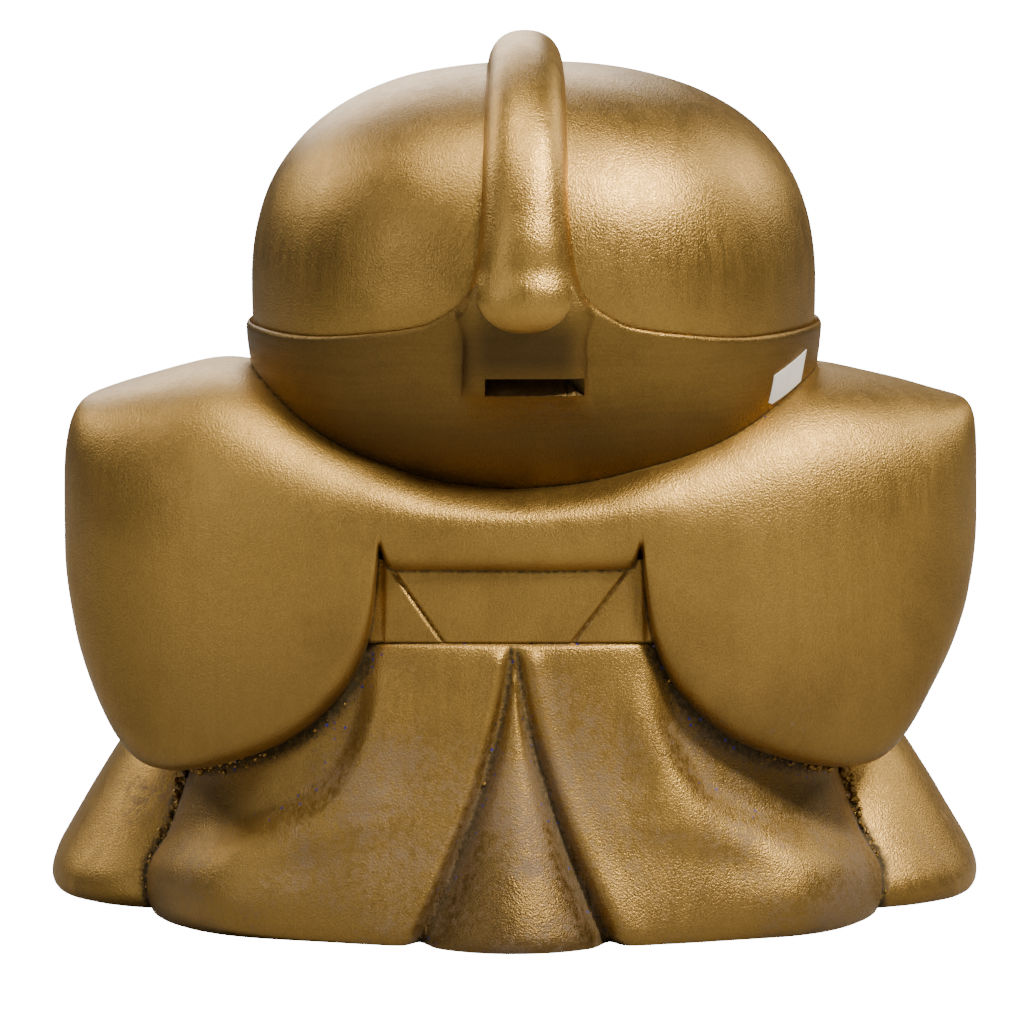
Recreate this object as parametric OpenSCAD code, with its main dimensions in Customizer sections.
// Kneeling good-luck figure, a plaster coin bank cast in sections and luted together.
// The figure faces -Y and kneels on Z = 0. Its back, with the coin slot, faces +Y.

/* [Head] */
// Width of the head
head_w = 187; // [150:1:210]
// Depth of the head from face to nape
head_d = 182; // [150:1:184]
// Height of the widest level of the head
head_wide_z = 208; // [200:1:222]
// Height of the crown
crown_z = 282; // [262:1:302]
// Distance that the head sits off the middle, to the figure's right
head_shift = 6.5; // [0:0.5:10]
// Wall thickness of the hollow head
head_wall = 6; // [4:0.5:10]
// Share of its depth by which the back of the head is drawn in at the neck
head_tuck = 0.3; // [0:0.05:0.35]

/* [Hair] */
// Thickness of the hair that stands proud of the bald crown
hair_t = 2.4; // [1.5:0.1:5]
// Height of the hairline
hairline_z = 197; // [190:1:206]
// Width of the topknot
topknot_w = 26; // [18:1:34]
// Thickness of the topknot
topknot_t = 10.4; // [6:0.2:14]
// Diameter of the tied root of the topknot
knot_dia = 26; // [18:1:32]

/* [Coin bank] */
// Length of the coin slot
slot_w = 32; // [29:0.5:38]
// Height of the coin slot
slot_h = 5.8; // [4.8:0.1:8]
// Height of the middle of the slot
slot_z = 181.5; // [176:0.5:186]
// Diameter of the coin outlet in the base
outlet_dia = 42; // [34:1:60]

/* [Robe] */
// Width of the robe at the hem
hem_w = 248; // [220:1:260]
// Width of the robe at the waist
waist_w = 156; // [146:1:170]
// Reach of the robe behind the body axis at the hem
hem_back = 84; // [76:1:92]
// Reach of the centre pleat behind the robe at the hem
pleat_reach = 18; // [10:1:26]
// Half width of the centre pleat at the hem
pleat_half_w = 30; // [24:1:44]
// Height of the shoulders, where the head is bedded
robe_h = 143; // [136:1:150]
// Wall thickness of the hollow robe
robe_wall = 8; // [5:0.5:12]
// Thickness of the base plate
base_t = 6; // [4:0.5:10]

/* [Shoulder wings] */
// Width over both shoulder wings
wings_w = 305; // [280:1:316]
// Half depth of a wing at its inner edge
wing_half_d = 79; // [72:1:84]
// Height of the lowest point of a wing
wing_low_z = 49.5; // [42:0.5:58]
// Distance of a wing's inner edge from the middle
wing_in = 43; // [38:1:50]
// Distance that both wings sit off the middle, to the figure's right
wing_shift = 1; // [0:0.5:4]

/* [Waist board] */
// Width of the board along its lower edge
board_w = 88; // [70:1:92]
// Height of the board
board_h = 24.5; // [18:0.5:28]
// Thickness of the board
board_t = 6; // [3:0.5:9]
// Height of the board's lower edge
board_z = 96.5; // [90:0.5:100]

/* [Knees] */
// Width over both knees
knees_w = 317; // [300:1:330]
// Reach of the knees in front of the body axis
knee_front = 128; // [118:1:140]
// Height of the knees
knee_h = 72; // [64:1:76]

/* [Hidden] */

// Gap left for the luting between two cast pieces
joint_gap = 0.4;
// Radial play of the stopper in the outlet
stopper_play = 0.05;
// Distance from the body axis to the middle of the whole depth
axis_y = (knee_front - hem_back - pleat_reach) / 2;

// Squareness of the head, in plan and in height: 2 is an ellipse
head_plan_n = 2.3;
head_rise_n = 2.45;
// Height at which the head stands on the shoulders
head_foot_z = robe_h + joint_gap;
// Depth below its foot at which the head would close
head_under = 23.4;
// Depth below the widest level at which the head would close
head_drop = head_wide_z - head_foot_z + head_under;
// Opening for coins between head and robe
neck_hole_dia = 64;
// Thickness of the robe's top, under the head
robe_roof = 8;

plaster_gold = [0.66, 0.50, 0.24];
shade_gold = [0.55, 0.41, 0.19];
bright_gold = [0.74, 0.58, 0.31];

function signed_power(v, e) = sign(v) * pow(abs(v), e);
// Point at angle t on a rounded outline of half sizes a and b
function rim(t, a, b, n) = [a * signed_power(cos(t), 2 / n), b * signed_power(sin(t), 2 / n)];
// Half depth left of a rounded outline at distance x from its middle
function chord(x, a, b, n) = b * pow(max(0, 1 - pow(min(1, abs(x) / a), n)), 1 / n);

// Solid skinned over a list of rings, each with the same number of points
module loft(rings) {
  m = len(rings[0]);
  last = len(rings) - 1;
  polyhedron(
    points = [for (ring = rings) each ring],
    faces = concat(
      [[for (i = [0:m - 1]) i]],
      [for (j = [0:last - 1], i = [0:m - 1])
        [j * m + i, (j + 1) * m + i, (j + 1) * m + (i + 1) % m, j * m + (i + 1) % m]],
      [[for (i = [m - 1:-1:0]) last * m + i]]));
}

// Solid between two equal grids of points, where u x v points from inner to outer
module slab(outer, inner) {
  nu = len(outer);
  nv = len(outer[0]);
  function at(u, v, side) = (side * nu + u) * nv + v;
  polyhedron(
    points = concat([for (row = outer) each row], [for (row = inner) each row]),
    faces = concat(
      [for (u = [0:nu - 2], v = [0:nv - 2])
        [at(u, v, 0), at(u, v + 1, 0), at(u + 1, v + 1, 0), at(u + 1, v, 0)]],
      [for (u = [0:nu - 2], v = [0:nv - 2])
        [at(u, v, 1), at(u + 1, v, 1), at(u + 1, v + 1, 1), at(u, v + 1, 1)]],
      [for (u = [0:nu - 2]) [at(u, 0, 0), at(u + 1, 0, 0), at(u + 1, 0, 1), at(u, 0, 1)]],
      [for (u = [0:nu - 2], v = [nv - 1])
        [at(u + 1, v, 0), at(u, v, 0), at(u, v, 1), at(u + 1, v, 1)]],
      [for (v = [0:nv - 2]) [at(0, v + 1, 0), at(0, v, 0), at(0, v, 1), at(0, v + 1, 1)]],
      [for (v = [0:nv - 2], u = [nu - 1])
        [at(u, v, 0), at(u, v + 1, 0), at(u, v + 1, 1), at(u, v, 1)]]));
}

// ---------------------------------------------------------------- robe

robe_n = 2.6;
// Half width, middle, back and front of the robe at each height, from the body axis
robe_half_w = [[0, hem_w / 2], [30, hem_w / 2 - 7], [60, hem_w / 2 - 21], [board_z, waist_w / 2],
               [robe_h, waist_w / 2 - 2]];
robe_mid = [[0, -20], [30, -18], [60, -12], [board_z, -6], [robe_h, -2]];
robe_rear = [[0, hem_back], [30, hem_back - 5], [60, hem_back - 10], [board_z, 67], [robe_h, 68]];
robe_fore = [[0, -114], [30, -106], [60, -94], [board_z, -76], [robe_h, -70]];

function pleat(x, z) = let (rise = 1 - z / board_z)
  rise <= 0 ? 0 : pleat_reach * rise * max(0, 1 - pow(abs(x) / (pleat_half_w * rise + 4), 2.5));
function robe_point(t, z, off, pleats) = let (
    mid = lookup(z, robe_mid),
    deep = t <= 180 ? lookup(z, robe_rear) - mid : mid - lookup(z, robe_fore),
    p = rim(t, lookup(z, robe_half_w) + off, deep + off, robe_n))
  [p[0], p[1] + mid + (pleats && t < 180 ? pleat(p[0], z) : 0) + axis_y, z];
// Surface of the robe's back and front at distance x from the middle
function robe_back_y(x, z, off) = let (mid = lookup(z, robe_mid))
  mid + chord(x, lookup(z, robe_half_w) + off, lookup(z, robe_rear) - mid + off, robe_n)
  + axis_y;
function robe_front_y(x, z, off) = let (mid = lookup(z, robe_mid))
  mid - chord(x, lookup(z, robe_half_w) + off, mid - lookup(z, robe_fore) + off, robe_n)
  + axis_y;

robe_levels = [0, 15, 30, 45, 60, 78, board_z, (board_z + robe_h) / 2, robe_h];
module robe_solid(off) {
  loft([for (z = robe_levels)
    [for (i = [0:71]) robe_point(i * 5, z, off, true) + [0, 0, z == robe_h ? off : 0]]]);
}
module robe_cavity() {
  levels = [-1, 30, 60, board_z, robe_h - robe_roof];
  loft([for (z = levels) [for (i = [0:35])
    let (p = robe_point(i * 10, max(z, 0), -robe_wall, false)) [p[0], p[1], z]]]);
}
module robe_body() {
  color(plaster_gold) difference() {
    robe_solid(0);
    robe_cavity();
    translate([-head_shift, axis_y, robe_h - robe_roof - 1])
      cylinder(d = neck_hole_dia, h = robe_roof + 2, $fn = 64);
  }
}

// Closes the coin chamber from below, flush with the hem
module base_plate() {
  color("tan") difference() {
    linear_extrude(base_t)
      polygon([for (i = [0:35])
        let (p = robe_point(i * 10, base_t, -robe_wall - joint_gap, false)) [p[0], p[1]]]);
    translate([0, outlet_y, -1]) cylinder(d = outlet_dia, h = base_t + 2, $fn = 96);
    translate([0, outlet_y, -1])
      cylinder(d = stopper_rim_dia + 2 * joint_gap, h = stopper_rim_t + stopper_inset + 1, $fn = 96);
  }
}

// Rubber stopper: a plug with a thin rim that sits in a recess, so that the figure stands flat
outlet_y = axis_y - 20;
stopper_rim_t = 2.4;
stopper_inset = 0.8;
stopper_rim_dia = outlet_dia + 12;
stopper_plug_h = 12;
module coin_stopper() {
  plug_r = outlet_dia / 2 - stopper_play;
  color("dimgray") translate([0, outlet_y, 0]) rotate_extrude($fn = 96)
    polygon([[5, stopper_inset], [stopper_rim_dia / 2, stopper_inset],
             [stopper_rim_dia / 2, stopper_inset + stopper_rim_t],
             [plug_r, stopper_inset + stopper_rim_t],
             [plug_r, stopper_plug_h - 3], [plug_r - 2, stopper_plug_h],
             [plug_r - 5, stopper_plug_h], [plug_r - 5, stopper_inset + 4],
             [0, stopper_inset + 4], [0, stopper_inset + 2], [5, stopper_inset + 2]]);
}

// ---------------------------------------------------------------- knees

knee_mid_x = 83;
knee_back = 24;
knee_n = 2.9;
// Share of the knee's plan at each share of its height
knee_swell = [[0, 0.97], [0.05, 1], [0.12, 1], [0.21, 0.95], [0.40, 0.85], [0.60, 0.73],
              [0.75, 0.63], [0.90, 0.46], [1, 0.22]];
module knee_solid(off) {
  a = knees_w / 2 - knee_mid_x;
  b = (knee_back + knee_front) / 2;
  translate([knee_mid_x, axis_y - (knee_front - knee_back) / 2, 0])
    loft([for (s = knee_swell) [for (i = [0:31])
      let (p = rim(i * 11.25, a * s[1] + off, b * s[1] + off, knee_n))
      [p[0], p[1], s[0] * knee_h + (s[0] > 0 ? off : 0)]]]);
}
module knee() {
  color(plaster_gold) difference() {
    knee_solid(0);
    robe_solid(joint_gap);
    translate([-200 + joint_gap, -300, -1]) cube([200, 600, 200]);
  }
}
module left_knee() difference() {
  knee();
  left_wing_solid(joint_gap);
}
module right_knee() difference() {
  mirror([1, 0, 0]) knee();
  right_wing_solid(joint_gap);
}

// ---------------------------------------------------------------- shoulder wings

wing_reach = wings_w / 2 - wing_in;
// Squareness of a wing's upper and lower half, and of the wings' plan
wing_top_n = 2.3;
wing_low_n = 5;
wing_plan_n = 2.4;
// Lower and upper edge of a wing at each share of its reach
wing_low = [[0, 140], [0.03, 132], [0.062, 108], [0.102, 95], [0.177, 81], [0.298, 67], [0.452, 57],
            [0.5775, wing_low_z + 1.5], [0.736, wing_low_z], [0.821, wing_low_z + 5.5], [0.907, 77],
            [0.98, 106], [1, 128]];
wing_high = [[0, 163], [0.155, 173], [0.29, 180], [0.457, 185], [0.685, 178.5], [0.889, 170.5],
             [0.956, 163.5], [1, 142]];
module wing_solid(off) {
  shares = [0, 0.03, 0.062, 0.102, 0.177, 0.298, 0.452, 0.5775, 0.736, 0.821, 0.907, 0.956, 0.985, 1];
  loft([for (k = shares) let (
      low = lookup(k, wing_low),
      high = lookup(k, wing_high),
      deep = max(4, chord(wing_in + wing_reach * k, wings_w / 2, wing_half_d, wing_plan_n)),
      x = wing_in + wing_reach * k + (k == 0 ? -off : k == 1 ? off : 0))
    [for (i = [0:31]) let (
        t = i * 11.25,
        p = rim(t, deep + off, (high - low) / 2 + off, t < 180 ? wing_top_n : wing_low_n))
      [x, p[0] + axis_y, p[1] + (high + low) / 2]]]);
}
module left_wing_solid(off) translate([-wing_shift, 0, 0]) wing_solid(off);
module right_wing_solid(off) translate([-wing_shift, 0, 0]) mirror([1, 0, 0]) wing_solid(off);
module left_wing() color(plaster_gold) difference() {
  left_wing_solid(0);
  robe_solid(joint_gap);
  head_solid(hair_t + 2 * joint_gap);
}
module right_wing() color(plaster_gold) difference() {
  right_wing_solid(0);
  robe_solid(joint_gap);
  head_solid(hair_t + 2 * joint_gap);
}

// ---------------------------------------------------------------- back of the vest

panel_half_w = wing_in - wing_shift - 2 * joint_gap;
panel_t = 11;
panel_slope = 8;
panel_inner = 40;
function neckline_z(x) = robe_h + 7.5 + 8 * pow(abs(x) / wing_in, 2);
// Points over the robe's back, from the figure's left to its right
function back_grid(half_low, half_high, low, tops, off) =
  [for (u = [0:10]) let (s = 1 - u / 5) [for (v = [0:3]) let (
      x = s * (half_low + (half_high - half_low) * v / 3),
      z = low + (tops[u] - low) * v / 3)
    [x, robe_back_y(x, z, off), z]]];
module back_panel() {
  low = board_z + board_h + joint_gap;
  tops = [for (u = [0:10]) neckline_z((1 - u / 5) * panel_half_w)];
  brows = [for (top = tops) top - panel_slope];
  color(plaster_gold) difference() {
    slab(back_grid(panel_half_w, panel_half_w, low, brows, panel_t),
         [for (column = back_grid(panel_half_w, panel_half_w, low, tops, 0))
           [for (p = column) [p[0], axis_y + panel_inner, p[2]]]]);
    robe_solid(joint_gap);
    head_solid(hair_t + 2 * joint_gap);
  }
}
module waist_board() {
  tops = [for (u = [0:10]) board_z + board_h];
  color(bright_gold)
    slab(back_grid(board_w / 2, board_w / 2 - 2, board_z, tops, board_t),
         back_grid(board_w / 2, board_w / 2 - 2, board_z, tops, joint_gap));
}

// ---------------------------------------------------------------- front of the dress

sash_z = 86;
sash_h = 13;
// Points over the robe's front between two slanting edges
function front_grid(x0, x1, x2, x3, low, high, off) =
  [for (u = [0:6]) [for (v = [0:5]) let (
      x = (x0 + (x1 - x0) * u / 6) * (1 - v / 5) + (x2 + (x3 - x2) * u / 6) * v / 5,
      z = low + (high - low) * v / 5)
    [x, robe_front_y(x, z, off), z]]];
module front_slab(x0, x1, x2, x3, low, high, t)
  slab(front_grid(x0, x1, x2, x3, low, high, t),
       front_grid(x0, x1, x2, x3, low, high, joint_gap));
module lapel() front_slab(2, 26, 20, panel_half_w, sash_z + sash_h + joint_gap, robe_h - joint_gap, 8);
module left_lapel() color(plaster_gold) lapel();
module right_lapel() color(plaster_gold) mirror([1, 0, 0]) lapel();
module collar() color(bright_gold)
  front_slab(-1, 1, -19, 19, sash_z + sash_h + joint_gap, robe_h - joint_gap, 4);
module front_sash() color(bright_gold)
  front_slab(-panel_half_w, panel_half_w, -panel_half_w, panel_half_w, sash_z, sash_z + sash_h, 6);

// ---------------------------------------------------------------- sleeves and hands

// Distance forward, height, middle, half width and half height along the forearm
sleeve_run = [[40, 96, 76, 22, 18], [70, 92, 72, 24, 19], [92, 84, 66, 22, 16], [100, 80, 64, 19, 13]];
hand_run = [[100.4, 78, 63, 12, 7], [106, 76, 62, 15, 8], [116, 70, 59, 16, 8], [124, 63, 57, 12, 5]];
module limb_solid(run, off)
  loft([for (k = [len(run) - 1:-1:0]) let (s = run[k]) [for (i = [0:19])
    let (p = rim(-i * 18, s[3] + off, s[4] + off, 2.3))
    [s[2] + p[0], axis_y - s[0], s[1] + p[1]]]]);
module sleeve() difference() {
  limb_solid(sleeve_run, 0);
  knee_solid(joint_gap);
  robe_solid(joint_gap);
}
module left_sleeve() color(plaster_gold) difference() {
  sleeve();
  left_wing_solid(joint_gap);
}
module right_sleeve() color(plaster_gold) difference() {
  mirror([1, 0, 0]) sleeve();
  right_wing_solid(joint_gap);
}
module hand() difference() {
  limb_solid(hand_run, 0);
  knee_solid(joint_gap);
}
module left_hand() color(bright_gold) hand();
module right_hand() color(bright_gold) mirror([1, 0, 0]) hand();

// ---------------------------------------------------------------- head

head_axis = [-head_shift, axis_y];
// Share of the head's plan left at height z, for a surface grown by off
function head_share(z, off) = let (
    rise = z >= head_wide_z ? (z - head_wide_z) / (crown_z - head_wide_z + off)
                            : (head_wide_z - z) / (head_drop + off))
  pow(max(0, 1 - pow(min(1, rise), head_rise_n)), 1 / head_rise_n);
// Depth y behind the head's axis, drawn in towards the neck below the widest level
function tucked(y, z) = y <= 0 || z >= head_wide_z ? y : let (
    fall = (head_wide_z - z) / (head_wide_z - head_foot_z))
  y * (1 - head_tuck * pow(fall, 1.5) * pow(y / (head_d / 2), 2));
function head_point(t, z, off) = let (
    s = head_share(z, off),
    p = rim(t, (head_w / 2 + off) * s, (head_d / 2 + off) * s, head_plan_n))
  [head_axis[0] + p[0], head_axis[1] + tucked(p[1], z), z];
// Height of step k of n from the foot, closer together towards the crown
function head_level(k, n, foot, off) = let (
    low = head_wide_z - foot,
    high = crown_z - head_wide_z + off,
    angle = -90 + 180 * (k / n))
  angle < 0 ? head_wide_z + low * sin(angle) : head_wide_z + high * sin(angle) * 0.9995;
module head_loft(off, foot, across, up)
  loft([for (k = [0:up]) [for (i = [0:across - 1])
    head_point(i * 360 / across, head_level(k, up, foot, off), off)]]);
module head_solid(off) head_loft(off, head_foot_z - (off > 0 ? off : 0), 48, 18);
module slot_cut() translate([-head_shift - slot_w / 2, axis_y + 40, slot_z - slot_h / 2])
  cube([slot_w, 100, slot_h]);
module head_shell() color(plaster_gold) difference() {
  head_solid(0);
  head_loft(-head_wall, head_foot_z - 1, 36, 12);
  slot_cut();
}

// Hair round the back and sides, from in front of one ear to in front of the other
hair_front_angle = -14;
module hair_band() {
  steps = 38;
  function hair_grid(off) = [for (u = [0:steps]) [for (v = [0:5])
    head_point(hair_front_angle + (180 - 2 * hair_front_angle) * u / steps,
               head_foot_z + 1 + (hairline_z - head_foot_z - 1) * v / 5, off)]];
  color(shade_gold) difference() {
    slab(hair_grid(hair_t), hair_grid(joint_gap));
    slot_cut();
  }
}

// Distance from the head's centre to its surface along a unit direction
function head_reach(d) = let (
    flat = pow(pow(abs(d[0]) / (head_w / 2), head_plan_n)
             + pow(abs(d[1]) / (head_d / 2), head_plan_n), head_rise_n / head_plan_n),
    half = d[2] >= 0 ? crown_z - head_wide_z : head_drop)
  1 / pow(flat + pow(abs(d[2]) / half, head_rise_n), 1 / head_rise_n);
function over_head(side, lift, off) = let (
    d = [sin(side), cos(side) * cos(lift), cos(side) * sin(lift)],
    r = head_reach(d) + off)
  [head_axis[0] + r * d[0], head_axis[1] + r * d[1], head_wide_z + r * d[2]];

// Topknot laid forward over the crown, tied at its root, over a tuft of gathered hair
topknot_front = 128;
knot_lift = 9;
knot_proud = 10;
// Angle by which the topknot sits off the head's middle, towards the figure's left
knot_turn = 2;
tuft_turn = 11.5;
tuft_t = 8;
knot_r = knot_dia / 2;
module topknot() {
  side = atan(topknot_w / 2 / 84);
  function crest(s) = 1 - 0.45 * pow(abs(s), 3);
  function strip(off) = [for (u = [0:6]) let (s = 1 - u / 3) [for (v = [0:16])
    over_head(knot_turn + side * s, knot_lift + (topknot_front - knot_lift) * v / 16,
              off * crest(s) + joint_gap)]];
  tuft_low = slot_z + slot_h / 2 + 0.6;
  tuft_high = head_wide_z + 8;
  function tuft(off) = [for (u = [0:6]) [for (v = [0:4]) let (
      s = u / 3 - 1,
      z = tuft_low + (tuft_high - tuft_low) * v / 4,
      p = head_point(90 - knot_turn + tuft_turn * s, z, off * crest(s) * (0.45 + 0.14 * v)))
    p]];
  color(bright_gold) difference() {
    union() {
      slab(strip(topknot_t - joint_gap), strip(0));
      slab(tuft(tuft_t), tuft(0));
      translate(over_head(knot_turn, knot_lift - 4, knot_proud - knot_r)) sphere(r = knot_r, $fn = 48);
    }
    head_solid(joint_gap);
    hair_clear();
  }
}
module hair_clear() difference() {
  head_solid(hair_t + joint_gap);
  translate([-300, -300, hairline_z + joint_gap]) cube([600, 600, 200]);
}

// Ear: a flat egg shape with a long lobe, let into the side of the head
ear_angle = -27;
ear_h = 40;
ear_z = 184;
module ear_solid() {
  base = head_point(ear_angle, ear_z, 0);
  translate(base) rotate([0, 0, ear_angle - 8])
    loft([for (s = [[-0.5, 2], [-0.44, 6], [-0.2, 8.5], [0.1, 10.5], [0.36, 10], [0.5, 4]])
      [for (i = [0:19]) let (p = rim(i * 18, s[1] * 0.62, s[1], 2)) [p[0] + 1, p[1], s[0] * ear_h]]]);
}
module left_ear() color(plaster_gold) difference() {
  ear_solid();
  head_solid(joint_gap);
  left_wing_solid(joint_gap);
}
module right_ear() color(plaster_gold) difference() {
  translate([-2 * head_shift, 0, 0]) mirror([1, 0, 0]) ear_solid();
  head_solid(joint_gap);
  right_wing_solid(joint_gap);
}

// Blank paper price label stuck on the hair behind the right shoulder
label_t = 0.4;
module price_label() {
  function label_grid(off) = [for (u = [0:4]) [for (v = [0:2]) let (t = 145 + 17 * u / 4)
    head_point(t, 171.5 + 9 * v / 2 + 8.5 * u / 4, hair_t + joint_gap + off)]];
  color("white") difference() {
    slab(label_grid(label_t), label_grid(0));
    right_wing_solid(joint_gap);
  }
}

robe_body();
base_plate();
coin_stopper();
left_knee();
right_knee();
left_wing();
right_wing();
back_panel();
waist_board();
left_lapel();
right_lapel();
collar();
front_sash();
left_sleeve();
right_sleeve();
left_hand();
right_hand();
head_shell();
hair_band();
topknot();
left_ear();
right_ear();
price_label();
